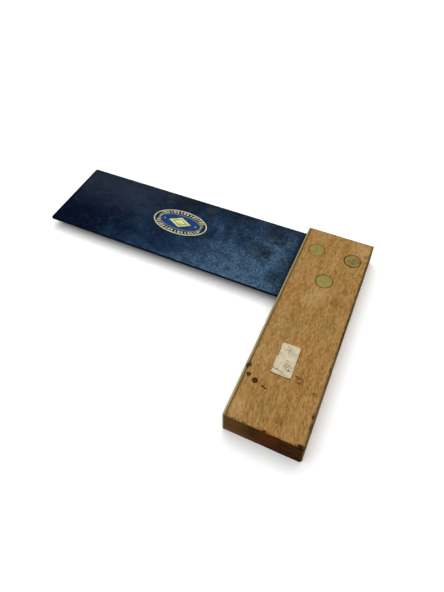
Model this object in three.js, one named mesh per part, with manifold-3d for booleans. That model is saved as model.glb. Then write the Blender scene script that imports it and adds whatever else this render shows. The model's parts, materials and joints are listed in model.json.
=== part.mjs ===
// A joiner's try square: a blued steel blade held square in a beech stock, with a brass face strip
// on the working face. Millimetres, +Z up. The blade runs along -X and the stock along -Y.
import * as THREE from 'three';
import { mergeVertices } from 'three/addons/utils/BufferGeometryUtils.js';
import Module from 'manifold-3d';

const wasm = await Module();
wasm.setup();

// Driving dimensions
const bladeReach = 190;
const bladeWidth = 64;
const bladeThickness = 2;
const bladeTang = 42;
const bladeArris = 0.15;
const bladeCornerRadius = 0.6;

const stockLength = 160;
const stockWidth = 48;
const stockThickness = 17;
const stockEndArris = 0.7;
const stockBackArris = 1.1;
const stockBackCorner = 1.6;
const stripArris = 0.3;
const stripFarCorner = 1.2;
const stripNearCorner = 0.6;

const stripThickness = 1.5;
const jointGap = 0.25;

const rivetPlaces = [
  { name: 'inner', x: 11.5, y: -19.5 },
  { name: 'outer', x: 37.4, y: -19.6 },
  { name: 'lower', x: 24.4, y: -45 },
];
const rivetPinRadius = 2;
const rivetDiscRadius = 5.6;
const rivetDiscThickness = 1.6;
const rivetDiscArris = 0.2;
const rivetDiscRecess = 0.05;
const rivetSocketDepth = 1;

const facePinRadius = 0.9;
const facePinLength = 12;
const facePinHeadRadius = 1.7;
const facePinHeadDepth = 0.9;
const facePinPlaces = [
  { name: 'far_upper', y: -9, z: 13 },
  { name: 'far_lower', y: -9, z: 4 },
  { name: 'mid', y: -78, z: stockThickness / 2 },
  { name: 'near', y: -114, z: stockThickness / 2 },
  { name: 'end', y: -150, z: stockThickness / 2 },
];

const transferLength = 44.6;
const transferWidth = 24.6;
const transferThickness = 0.12;
const transferPlace = { x: -94.5, y: -28.4 };

const stickerWidth = 12.2;
const stickerLength = 22.3;
const stickerThickness = 0.12;
const stickerCornerRadius = 0.4;
const stickerPlace = { x: 21.1, y: -112.7, turn: THREE.MathUtils.degToRad(1.8) };
const paperLift = 0.02;

const roundSegments = 40;
const pinSegments = 24;

// Places that follow from the driving dimensions
const midHeight = stockThickness / 2;
const bladeTop = midHeight + bladeThickness / 2;
const bladeBottom = midHeight - bladeThickness / 2;
const woodFace = stripThickness + jointGap;
const cutMargin = 5;
const holeOverrun = 1;
const frameOffset = new THREE.Vector3((bladeReach - stockWidth) / 2, stockLength / 2, 0);

function finish(color, roughness, metalness) {
  return new THREE.MeshStandardMaterial({ color, roughness, metalness });
}

const steel = () => finish(0x1b2c44, 0.42, 0.8);
const beech = () => finish(0xa9814f, 0.6, 0);
const brass = () => finish(0x9a8b4c, 0.4, 0.9);
const transferFilm = () => finish(0x1d3f86, 0.45, 0);
const paper = () => finish(0xd9d2bd, 0.85, 0);

function toSolid(geometry) {
  const bare = geometry.clone();
  bare.deleteAttribute('normal');
  bare.deleteAttribute('uv');
  const merged = mergeVertices(bare, 1e-5);
  return new wasm.Manifold(new wasm.Mesh({
    numProp: 3,
    vertProperties: new Float32Array(merged.attributes.position.array),
    triVerts: new Uint32Array(merged.index.array),
  }));
}

function toGeometry(solid) {
  const mesh = solid.getMesh();
  const geometry = new THREE.BufferGeometry();
  geometry.setAttribute('position', new THREE.BufferAttribute(mesh.vertProperties, 3));
  geometry.setIndex(new THREE.BufferAttribute(mesh.triVerts, 1));
  geometry.computeVertexNormals();
  return geometry;
}

function box(x0, x1, y0, y1, z0, z1) {
  const geometry = new THREE.BoxGeometry(x1 - x0, y1 - y0, z1 - z0);
  geometry.translate((x0 + x1) / 2, (y0 + y1) / 2, (z0 + z1) / 2);
  return geometry;
}

// A round bar along +Z from z0 to z1.
function bar(radius, z0, z1, segments) {
  const geometry = new THREE.CylinderGeometry(radius, radius, z1 - z0, segments);
  geometry.rotateX(Math.PI / 2);
  geometry.translate(0, 0, (z0 + z1) / 2);
  return geometry;
}

// A rectangle whose corners are rounded one by one. The radii go round from the low-left corner:
// low-left, low-right, high-right, high-left.
function roundedRectangle(x0, y0, x1, y1, radii) {
  const [lowLeft, lowRight, highRight, highLeft] = radii;
  const shape = new THREE.Shape();
  shape.moveTo(x0 + lowLeft, y0);
  shape.lineTo(x1 - lowRight, y0);
  shape.absarc(x1 - lowRight, y0 + lowRight, lowRight, -Math.PI / 2, 0, false);
  shape.lineTo(x1, y1 - highRight);
  shape.absarc(x1 - highRight, y1 - highRight, highRight, 0, Math.PI / 2, false);
  shape.lineTo(x0 + highLeft, y1);
  shape.absarc(x0 + highLeft, y1 - highLeft, highLeft, Math.PI / 2, Math.PI, false);
  shape.lineTo(x0, y0 + lowLeft);
  shape.absarc(x0 + lowLeft, y0 + lowLeft, lowLeft, Math.PI, Math.PI * 1.5, false);
  return shape;
}

// The outer form of the stock and its brass face together: three prisms, one for each way of looking at it.
function stockEnvelope() {
  const plan = new THREE.ExtrudeGeometry(
    roundedRectangle(0, -stockLength, stockWidth, 0,
      [stripNearCorner, stockBackCorner, stockBackCorner, stripFarCorner]),
    { depth: stockThickness + 2 * cutMargin, bevelEnabled: false, curveSegments: 4 });
  plan.translate(0, 0, -cutMargin);

  const section = new THREE.ExtrudeGeometry(
    roundedRectangle(0, 0, stockWidth, stockThickness,
      [stripArris, stockBackArris, stockBackArris, stripArris]),
    { depth: stockLength + 2 * cutMargin, bevelEnabled: false, curveSegments: 4 });
  section.rotateX(Math.PI / 2);
  section.translate(0, cutMargin, 0);

  const side = new THREE.ExtrudeGeometry(
    roundedRectangle(-stockLength, 0, 0, stockThickness,
      [stockEndArris, stockEndArris, stockEndArris, stockEndArris]),
    { depth: stockWidth + 2 * cutMargin, bevelEnabled: false, curveSegments: 4 });
  side.rotateX(Math.PI / 2);
  side.rotateZ(Math.PI / 2);
  side.translate(-cutMargin, 0, 0);

  return toSolid(plan).intersect(toSolid(section)).intersect(toSolid(side));
}

// The saw kerf that takes the blade, open at the far end and at the working face.
function bladeKerf(depth) {
  return toSolid(box(-cutMargin, depth, -bladeWidth - jointGap, cutMargin,
    bladeBottom - jointGap, bladeTop + jointGap));
}

function discSeat(place, upper) {
  const depth = rivetDiscRecess + rivetDiscThickness + jointGap;
  const z0 = upper ? stockThickness - depth : -cutMargin;
  const z1 = upper ? stockThickness + cutMargin : depth;
  const seat = bar(rivetDiscRadius + jointGap, z0, z1, roundSegments);
  seat.translate(place.x, place.y, 0);
  return toSolid(seat);
}

function rivetHole(place) {
  const hole = bar(rivetPinRadius + jointGap, -cutMargin, stockThickness + cutMargin, pinSegments);
  hole.translate(place.x, place.y, 0);
  return toSolid(hole);
}

// A face pin: a countersunk head and a plain shank. Grown by a gap, and with its cone carried on
// outwards by the overrun, the same form cuts the pin's hole.
function facePin(place, gap, overrun) {
  const shank = facePinRadius + gap;
  const head = facePinHeadRadius + gap;
  const headDepth = facePinHeadDepth + gap;
  const flare = (head - shank) / headDepth;
  const geometry = new THREE.LatheGeometry([
    new THREE.Vector2(0, -overrun),
    new THREE.Vector2(head + flare * overrun, -overrun),
    new THREE.Vector2(shank, headDepth),
    new THREE.Vector2(shank, facePinLength + gap),
    new THREE.Vector2(0, facePinLength + gap),
  ], pinSegments);
  geometry.rotateZ(-Math.PI / 2);
  geometry.translate(0, place.y, place.z);
  return geometry;
}

// The stretch of the stock's envelope between two distances from the working face.
function envelopeSlice(x0, x1) {
  const slice = box(x0, x1, -stockLength - cutMargin, cutMargin, -cutMargin, stockThickness + cutMargin);
  return stockEnvelope().intersect(toSolid(slice));
}

function makeStock() {
  let solid = envelopeSlice(woodFace, stockWidth + cutMargin);
  solid = solid.subtract(bladeKerf(bladeTang + jointGap));
  for (const place of rivetPlaces) {
    solid = solid.subtract(rivetHole(place));
    solid = solid.subtract(discSeat(place, true));
    solid = solid.subtract(discSeat(place, false));
  }
  for (const place of facePinPlaces) {
    solid = solid.subtract(toSolid(facePin(place, jointGap, holeOverrun)));
  }
  return toGeometry(solid);
}

function makeFaceStrip() {
  let solid = envelopeSlice(-cutMargin, stripThickness);
  solid = solid.subtract(bladeKerf(bladeTang + jointGap));
  for (const place of facePinPlaces) {
    solid = solid.subtract(toSolid(facePin(place, jointGap, holeOverrun)));
  }
  return toGeometry(solid);
}

function makeBlade() {
  const r = bladeCornerRadius;
  const outline = roundedRectangle(
    -bladeReach + bladeArris, -bladeWidth + bladeArris, bladeTang - bladeArris, -bladeArris, [r, r, r, r]);
  for (const place of rivetPlaces) {
    const hole = new THREE.Path();
    hole.absarc(place.x, place.y, rivetPinRadius + jointGap + bladeArris, 0, Math.PI * 2, true);
    outline.holes.push(hole);
  }
  const geometry = new THREE.ExtrudeGeometry(outline, {
    depth: bladeThickness - 2 * bladeArris,
    bevelEnabled: true,
    bevelThickness: bladeArris,
    bevelSize: bladeArris,
    bevelSegments: 1,
    curveSegments: 6,
  });
  geometry.translate(0, 0, bladeBottom + bladeArris);
  return geometry;
}

// A brass disc let into the wood, with a blind socket for the pin end that is peened into it.
function makeRivetDisc() {
  const r = rivetDiscRadius;
  const top = rivetDiscThickness;
  const socket = rivetPinRadius + jointGap;
  return new THREE.LatheGeometry([
    new THREE.Vector2(0, rivetSocketDepth),
    new THREE.Vector2(socket, rivetSocketDepth),
    new THREE.Vector2(socket, 0),
    new THREE.Vector2(r, 0),
    new THREE.Vector2(r, top - rivetDiscArris),
    new THREE.Vector2(r - rivetDiscArris, top),
    new THREE.Vector2(0, top),
  ], roundSegments);
}

function makeRivetPin() {
  const socketFloor = rivetDiscRecess + rivetDiscThickness - rivetSocketDepth + jointGap;
  return bar(rivetPinRadius, socketFloor, stockThickness - socketFloor, pinSegments);
}

function makeTransfer() {
  const oval = new THREE.Shape();
  oval.absellipse(0, 0, transferLength / 2, transferWidth / 2, 0, Math.PI * 2, false, 0);
  const plate = { depth: transferThickness, bevelEnabled: false, curveSegments: 32 };
  return new THREE.ExtrudeGeometry(oval, plate);
}

function makeSticker() {
  const halfWide = stickerWidth / 2;
  const halfLong = stickerLength / 2;
  const r = stickerCornerRadius;
  const outline = roundedRectangle(-halfWide, -halfLong, halfWide, halfLong, [r, r, r, r]);
  const plate = { depth: stickerThickness, bevelEnabled: false, curveSegments: 3 };
  return new THREE.ExtrudeGeometry(outline, plate);
}

const square = new THREE.Group();
square.position.copy(frameOffset);

function addMesh(name, geometry, material) {
  const mesh = new THREE.Mesh(geometry, material);
  mesh.name = name;
  square.add(mesh);
  return mesh;
}

addMesh('stock', makeStock(), beech());
addMesh('face_strip', makeFaceStrip(), brass());
addMesh('blade', makeBlade(), steel());

for (const place of rivetPlaces) {
  const pin = addMesh(`rivet_pin_${place.name}`, makeRivetPin(), brass());
  pin.position.set(place.x, place.y, 0);

  const upper = addMesh(`rivet_disc_top_${place.name}`, makeRivetDisc(), brass());
  upper.rotation.x = Math.PI / 2;
  upper.position.set(place.x, place.y, stockThickness - rivetDiscRecess - rivetDiscThickness);

  const lower = addMesh(`rivet_disc_bottom_${place.name}`, makeRivetDisc(), brass());
  lower.rotation.x = -Math.PI / 2;
  lower.position.set(place.x, place.y, rivetDiscRecess + rivetDiscThickness);
}

for (const place of facePinPlaces) {
  addMesh(`face_pin_${place.name}`, facePin(place, 0, 0), brass());
}

const transfer = addMesh('blade_transfer', makeTransfer(), transferFilm());
transfer.position.set(transferPlace.x, transferPlace.y, bladeTop);

const sticker = addMesh('price_sticker', makeSticker(), paper());
sticker.rotation.z = stickerPlace.turn;
sticker.position.set(stickerPlace.x, stickerPlace.y, stockThickness + paperLift);

export default square;
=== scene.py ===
"""Looks for a joiner's try square: blued steel blade, beech stock, brass face, discs and pins."""

import json
import math

import bmesh
import bpy
from mathutils import Matrix, Vector, noise

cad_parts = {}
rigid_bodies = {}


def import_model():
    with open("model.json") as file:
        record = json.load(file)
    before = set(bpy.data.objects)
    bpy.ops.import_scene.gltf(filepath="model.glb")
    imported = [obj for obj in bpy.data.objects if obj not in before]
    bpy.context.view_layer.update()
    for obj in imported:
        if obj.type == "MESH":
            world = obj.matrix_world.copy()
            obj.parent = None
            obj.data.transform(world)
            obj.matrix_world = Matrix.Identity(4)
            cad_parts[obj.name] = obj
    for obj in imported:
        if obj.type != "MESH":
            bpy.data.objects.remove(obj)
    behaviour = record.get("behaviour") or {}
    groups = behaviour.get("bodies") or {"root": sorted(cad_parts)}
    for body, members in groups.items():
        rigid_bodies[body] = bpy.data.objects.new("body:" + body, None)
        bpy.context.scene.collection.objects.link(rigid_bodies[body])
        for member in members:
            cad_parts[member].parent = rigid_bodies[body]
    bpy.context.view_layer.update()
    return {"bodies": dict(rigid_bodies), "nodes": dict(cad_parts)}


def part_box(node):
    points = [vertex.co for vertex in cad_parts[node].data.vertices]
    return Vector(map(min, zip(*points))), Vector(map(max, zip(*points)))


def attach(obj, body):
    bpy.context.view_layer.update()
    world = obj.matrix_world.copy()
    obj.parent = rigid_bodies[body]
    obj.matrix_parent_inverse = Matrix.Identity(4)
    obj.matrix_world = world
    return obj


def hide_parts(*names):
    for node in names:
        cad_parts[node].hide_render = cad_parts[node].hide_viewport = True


bl_info = {
    "name": "Try Square",
    "version": (1, 0, 0),
    "blender": (4, 5, 0),
    "location": "View3D > Sidebar > Try Square",
    "description": "Builds a worn joiner's try square around its packed frame",
    "category": "Object",
}

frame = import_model()
BODY = next(iter(frame["bodies"]))

MM = 0.001
AXIS = {"x": Vector((1, 0, 0)), "y": Vector((0, 1, 0)), "z": Vector((0, 0, 1))}
RIVETS = ("inner", "outer", "lower")
FACE_PINS = ("far_upper", "far_lower", "mid", "near", "end")

STOCK_LOW, STOCK_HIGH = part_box("stock")
STRIP_LOW, STRIP_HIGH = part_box("face_strip")
BLADE_LOW, BLADE_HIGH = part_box("blade")
TRANSFER_LOW, TRANSFER_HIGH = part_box("blade_transfer")
STICKER_LOW, STICKER_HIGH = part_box("price_sticker")

# The stock's far inner top corner: patterns on the wood and the blade are placed from it, in millimetres.
CORNER = Vector((STRIP_LOW.x, STRIP_HIGH.y, 0))
JOINT_GAP = STOCK_LOW.x - STRIP_HIGH.x
SEAT_GAP = 0.05 * MM
# Cutters run this far past a face, so that none ends in the same plane as the face.
CUT_OVER = 3 * MM
TOUCH = 1e-6

PIN_SHANK = 0.9 * MM
PIN_HEAD_DEPTH = 1.0 * MM
SOCKET_RADIUS = 2.25 * MM
SOCKET_ROOF = 0.6 * MM

STICKER_MIDDLE = ((STICKER_LOW + STICKER_HIGH) / 2 - CORNER) / MM
STICKER_TURN = math.radians(1.8)
STICKER_WIDTH = 12.2 * MM
STICKER_TALL = 22.3 * MM


def measure(node):
    """The lowest and highest corners of a CAD node's box, and its middle."""
    low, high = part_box(node)
    return low, high, (low + high) / 2


def from_corner(node):
    """The middle of a CAD node in plan, in millimetres from the stock's corner."""
    middle = (measure(node)[2] - CORNER) / MM
    return middle.x, middle.y


def radius_of(node):
    """The radius in plan of a round CAD node, in millimetres."""
    low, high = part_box(node)
    return (high.x - low.x) / 2 / MM


def tint(red, green, blue):
    """A display colour of 0 to 255 as scene-linear numbers."""
    def linear(level):
        share = level / 255
        return share / 12.92 if share <= 0.04045 else ((share + 0.055) / 1.055) ** 2.4
    return (linear(red), linear(green), linear(blue))


# ---------------------------------------------------------------- settings

def colour(name, description, default):
    return bpy.props.FloatVectorProperty(
        name=name, description=description, default=default, subtype="COLOR", min=0.0, max=1.0)


def length(name, description, millimetres):
    return bpy.props.FloatProperty(
        name=name, description=description, default=millimetres * MM, min=0.0, unit="LENGTH", precision=5)


class BeechSettings(bpy.types.PropertyGroup):
    """Sizes and colours of the stock."""
    light: colour("Light grain", "Bleached, dry beech", tint(163, 134, 89))
    middle: colour("Middle grain", "Plain waxed beech", tint(144, 112, 63))
    warm: colour("Warm grain", "Orange-brown streaks", tint(138, 99, 51))
    grey: colour("Grey grain", "Old handling dirt in the grain", tint(118, 96, 56))
    fleck: colour("Fleck", "Short dark flecks along the grain", tint(90, 56, 22))
    stain: colour("Stain", "Dark spots, bruises and burns", tint(24, 11, 2))
    # The end grain colour is darker than oiled end grain alone: it is partly painted shade on the end faces.
    end_grain_and_shade: colour("End grain", "Dark oiled end grain", tint(80, 43, 9))
    arris: length("Arris", "Rounding of the back and end arrises", 1.0)
    corner: length("Corner", "Rounding of the knocked corner at the near end", 1.8)
    wear: length("Wear", "Depth of the small dents along the arrises", 0.16)


class SteelSettings(bpy.types.PropertyGroup):
    """Sizes and colours of the blade."""
    # The deep tip and the pale blue near the stock are partly uneven bluing and partly a painted reflection
    # gradient.
    deep: colour("Deep blue", "Thickest bluing, near the tip", tint(3, 8, 26))
    middle: colour("Middle blue", "Plain blued steel", tint(20, 37, 56))
    pale: colour("Pale blue", "Thin, rubbed bluing near the stock", tint(62, 84, 104))
    # A painted sheen: lighter, greyer blue over the far half of the tip.
    tip_sheen: colour("Haze", "Greyish bloom over the far half of the tip", tint(35, 43, 57))
    grey: colour("Green grey", "Greenish, handled bluing", tint(24, 33, 35))
    # Also painted on the blade's rims, partly as shade on the edge faces.
    edge: colour("Edge", "Black oxide on the blade's edges", tint(6, 6, 9))
    # Partly a painted glint at the tip's far corner.
    bare: colour("Bare steel", "Steel rubbed bright at a corner", tint(150, 156, 160))
    rust: colour("Rust", "Small rust spots", tint(58, 44, 26))
    corner: length("Corner", "Rounding of the blade's corners in plan", 0.6)
    arris: length("Arris", "Rounding of the blade's edges", 0.2)


class BrassSettings(bpy.types.PropertyGroup):
    """Sizes and colours of the brass."""
    bright: colour("Brass", "Dull brass, filed and handled", tint(122, 109, 55))
    tarnish: colour("Tarnish", "Brown tarnish", tint(70, 54, 24))
    strip_edge: colour("Strip edge", "Rubbed edge of the face strip", tint(118, 108, 70))
    dome: length("Dome", "Rise of a filed disc at its middle", 0.05)
    disc_edge: length("Disc edge", "Rounding of a disc's rim", 0.28)
    far_corner: length("Far corner", "Rounding of the strip's far corner", 1.1)
    near_corner: length("Near corner", "Rounding of the strip's near corner", 1.0)
    arris: length("Arris", "Rounding of the strip's arrises", 0.25)


class PrintSettings(bpy.types.PropertyGroup):
    """Colours and sizes of the transfer and the paper sticker."""
    cream: colour("Cream", "Border lines and beads of the transfer", tint(192, 190, 150))
    navy: colour("Navy", "Outer band of the transfer", tint(12, 26, 50))
    royal: colour("Royal blue", "Inner oval of the transfer", tint(14, 58, 108))
    gilt: colour("Gilt", "Lozenge in the middle of the transfer", tint(196, 192, 126))
    paper: colour("Paper", "Grubby off-white paper", tint(190, 181, 155))
    stained_paper: colour("Stained paper", "Yellowed paper along the edges", tint(172, 150, 106))
    ink: colour("Ink", "Faded scribbles on the paper", tint(44, 36, 26))
    dirt: colour("Dirt", "Marks on the paper", tint(84, 74, 52))
    curl: length("Curl", "Lift of the sticker's loose corner", 0.7)
    sheet: length("Sheet", "Thickness of the paper", 0.1)
    film: length("Film", "Thickness of the transfer", 0.06)


class StageSettings(bpy.types.PropertyGroup):
    """Floor, lights and camera."""
    floor: colour("Floor", "Plain pale floor", tint(248, 248, 248))
    camera_place: bpy.props.FloatVectorProperty(
        name="Camera place", description="Where the camera stands", default=(0.1264, -0.2020, 0.3034),
        subtype="TRANSLATION", unit="LENGTH", precision=4)
    camera_turn: bpy.props.FloatVectorProperty(
        name="Camera turn", description="How the camera is turned, as XYZ angles", subtype="EULER",
        unit="ROTATION", default=(math.radians(44.48), math.radians(0.88), math.radians(24.90)))
    camera_lens: bpy.props.FloatProperty(
        name="Lens", description="Focal length on a 36 mm wide film", default=32.6, min=1.0, unit="CAMERA")
    camera_shift: bpy.props.FloatVectorProperty(
        name="Shift", description="Camera shift, as a share of the long side", size=2,
        default=(0.017, -0.118))
    surroundings: bpy.props.FloatProperty(
        name="Surroundings", description="Strength of the white light from all round", default=0.45, min=0.0)


SETTINGS = {
    "beech": BeechSettings,
    "steel": SteelSettings,
    "brass": BrassSettings,
    "print": PrintSettings,
    "stage": StageSettings,
}


def settings(name):
    return getattr(bpy.context.scene, "try_square_" + name)


# ---------------------------------------------------------------- shader arithmetic

class Field:
    """A socket that takes Python arithmetic: each operator adds the Math node that works it out."""

    def __init__(self, paint, socket):
        self.paint = paint
        self.socket = socket

    def join(self, operation, *values):
        return self.paint.node("ShaderNodeMath", {"operation": operation}, dict(enumerate(values)))

    def __add__(self, other):
        return self.join("ADD", self, other)

    __radd__ = __add__

    def __sub__(self, other):
        return self.join("SUBTRACT", self, other)

    def __rsub__(self, other):
        return self.join("SUBTRACT", other, self)

    def __mul__(self, other):
        return self.join("MULTIPLY", self, other)

    __rmul__ = __mul__

    def __truediv__(self, other):
        return self.join("DIVIDE", self, other)

    def __pow__(self, other):
        return self.join("POWER", self, other)

    def __abs__(self):
        return self.join("ABSOLUTE", self)

    def most(self, other):
        return self.join("MAXIMUM", self, other)

    def sine(self):
        return self.join("SINE", self)

    def angle_to(self, other):
        return self.join("ARCTAN2", self, other)


class Paint:
    """Builds one node material."""

    def __init__(self, name):
        self.material = bpy.data.materials.new(name)
        self.material.use_nodes = True
        self.tree = self.material.node_tree
        self.tree.nodes.clear()

    def node(self, kind, choices=None, values=None, output=0):
        """Adds a node: its choices are set first, then the values or links of its sockets."""
        made = self.tree.nodes.new(kind)
        for key, choice in (choices or {}).items():
            setattr(made, key, choice)
        for key, value in (values or {}).items():
            socket = made.inputs[key]
            if isinstance(value, Field):
                self.tree.links.new(value.socket, socket)
            elif socket.type == "RGBA" and len(value) == 3:
                socket.default_value = (*value, 1.0)
            else:
                socket.default_value = value
        return None if output is None else Field(self, made.outputs[output])

    def place(self, origin, turn=0.0):
        """Object coordinates in millimetres from an origin, turned about Z."""
        here = self.node("ShaderNodeTexCoord", output="Object")
        moved = self.node("ShaderNodeMapping", {"vector_type": "POINT"}, {
            "Vector": here, "Location": -origin / MM, "Scale": (1 / MM,) * 3})
        if not turn:
            return moved
        return self.node("ShaderNodeMapping", {"vector_type": "POINT"}, {
            "Vector": moved, "Rotation": (0, 0, -turn)})

    def axes(self, vector):
        split = self.node("ShaderNodeSeparateXYZ", values={0: vector})
        node = split.socket.node
        return [Field(self, node.outputs[i]) for i in range(3)]

    def spread(self, here, size, turn=0.0):
        """Coordinates whose unit is a pattern's size in millimetres along X, Y and Z, once turned about Z."""
        return self.node("ShaderNodeMapping", {"vector_type": "TEXTURE"}, {
            "Vector": here, "Scale": size, "Rotation": (0, 0, turn)})

    def noise(self, here, size, detail=2.0, rough=0.5, bend=0.0, turn=0.0):
        """Noise from 0 to 1 whose blobs are about one size across, given for X, Y and Z or for all three."""
        triple = size if isinstance(size, tuple) else (size,) * 3
        return self.node("ShaderNodeTexNoise", {"noise_dimensions": "3D"}, {
            "Vector": self.spread(here, triple, turn), "Scale": 1.0, "Detail": detail, "Roughness": rough,
            "Distortion": bend})

    def cells(self, here, size):
        """Scattered points: the distance to the nearest, and a number of its own for each."""
        nearest = self.node("ShaderNodeTexVoronoi", {"feature": "F1"}, {
            "Vector": self.spread(here, size), "Scale": 1.0, "Randomness": 1.0}, "Distance")
        own_colour = Field(self, nearest.socket.node.outputs["Color"])
        return nearest, self.axes(own_colour)[0]

    def rise(self, value, start, end, low=0.0, high=1.0):
        """A smooth step from low to high as value goes from start to end."""
        return self.node("ShaderNodeMapRange", {"interpolation_type": "SMOOTHSTEP"}, {
            "Value": value, "From Min": start, "From Max": end, "To Min": low, "To Max": high})

    def mix(self, amount, first, second):
        return self.node("ShaderNodeMix", {"data_type": "RGBA"}, {0: amount, 6: first, 7: second}, 2)

    def bump(self, height, distance, strength=1.0, under=None):
        values = {"Height": height, "Distance": distance, "Strength": strength}
        if under is not None:
            values["Normal"] = under
        return self.node("ShaderNodeBump", values=values)

    def finish(self, **values):
        """The Principled shader and the output. A word such as Base_Color names the socket Base Color."""
        shader = self.node("ShaderNodeBsdfPrincipled", values={
            key.replace("_", " "): value for key, value in values.items()})
        self.node("ShaderNodeOutputMaterial", values={"Surface": shader}, output=None)
        return self.material


def spot(x, y, centre, radius, soft, along=1.0):
    """1 inside a round or lengthened spot, in millimetres, falling to 0 over its soft rim."""
    dx = x - centre[0]
    dy = (y - centre[1]) / along
    reach = (dx * dx + dy * dy) ** 0.5
    return x.paint.rise(reach, radius - soft, radius + soft, 1.0, 0.0)


def ring(x, y, centre, radius, width):
    """1 along a ring, falling to 0 over its width."""
    dx = x - centre[0]
    dy = y - centre[1]
    reach = abs((dx * dx + dy * dy) ** 0.5 - radius)
    return x.paint.rise(reach, width * 0.3, width, 1.0, 0.0)


def strongest(fields):
    total = fields[0]
    for field in fields[1:]:
        total = total.most(field)
    return total


def patches(x, y, marks, along=1.0):
    """The strongest of some soft patches, each given by its middle and size."""
    return strongest([spot(x, y, middle, size, size * 0.9, along) for middle, size in marks])


# ---------------------------------------------------------------- materials

# Where along the stock the grain runs straight, in millimetres from the far end, and how fast it bends.
GRAIN_MIDDLE = 87.0
GRAIN_BEND = 0.0010

# Marks on the stock's top, from the corner in millimetres: middle, radius and lengthening along the stock.
INK_SPOTS = (
    ((2.2, -124.4), 1.35, 1.25),
    ((1.9, -126.6), 0.8, 1.2),
    ((30.2, -120.6), 0.9, 0.45),
    ((14.4, -134.5), 1.25, 0.55),
    ((16.2, -135.2), 1.05, 0.50),
    ((8.0, -132.3), 0.60, 1.0),
    ((24.9, -159.0), 1.2, 0.6),
    ((45.6, -158.8), 2.2, 0.6),
    ((48.0, -135.0), 0.9, 2.4),
    ((47.7, -146.8), 1.2, 2.3),
    ((47.2, -108.0), 0.5, 3.0),
    ((46.6, -140.3), 0.7, 1.6),
)
BROWN_SPOTS = (
    ((17.8, -35.4), 1.7, 0.35),
    ((41.6, -31.4), 1.9, 0.30),
    ((44.8, -30.2), 0.6, 1.2),
    ((18.8, -69.3), 0.7, 2.2),
    ((4.9, -31.9), 1.6, 0.5),
    ((33.8, -123.9), 0.9, 0.8),
    ((38.4, -124.8), 0.8, 0.9),
    ((39.6, -121.9), 0.6, 1.0),
    ((46.6, -139.6), 1.2, 1.5),
    ((45.6, -12.4), 1.6, 1.0),
    ((35.7, -59.5), 2.3, 1.4),
    ((41.8, -60.2), 2.0, 1.6),
    ((40.0, -48.6), 1.8, 1.4),
    ((30.6, -150.4), 2.4, 1.2),
)
# Rings: middle, radius, width, and how dark they stay where they are broken.
RINGS = (((4.1, -130.3), 0.80, 0.85, 0.45), ((9.0, -132.8), 0.95, 1.30, 0.90))
BROWN_RINGS = (((32.8, -122.5), 1.7, 1.3), ((43.2, -127.4), 0.9, 0.8))
WARM_PATCHES = (((27.2, -72.6), 5.5), ((33.0, -96.0), 7.0), ((34.0, -124.0), 8.0), ((20.0, -138.0), 6.0),
                ((12.0, -60.0), 7.0))
PALE_PATCHES = (((23.6, -57.0), 5.2), ((20.0, -64.0), 4.0), ((42.0, -8.0), 5.0), ((6.0, -152.0), 4.0))
GREY_PATCHES = (((19.4, -146.2), 5.0), ((15.0, -88.0), 6.0), ((36.0, -80.0), 5.0))

# Marks on the blade's top: middle and radius. The first rust spot has an orange core.
RUST_SPOTS = (((-42.3, -55.9), 1.7), ((-77.5, -6.9), 2.6), ((-114.1, -3.9), 2.6), ((-108.1, -46.5), 1.2))
OLIVE_SPOTS = (((-24.8, -30.6), 7.0), ((-56.0, -6.6), 7.0), ((-10.0, -50.0), 5.0), ((-93.0, -7.0), 8.0),
               ((-22.0, -8.0), 9.0))


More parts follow.
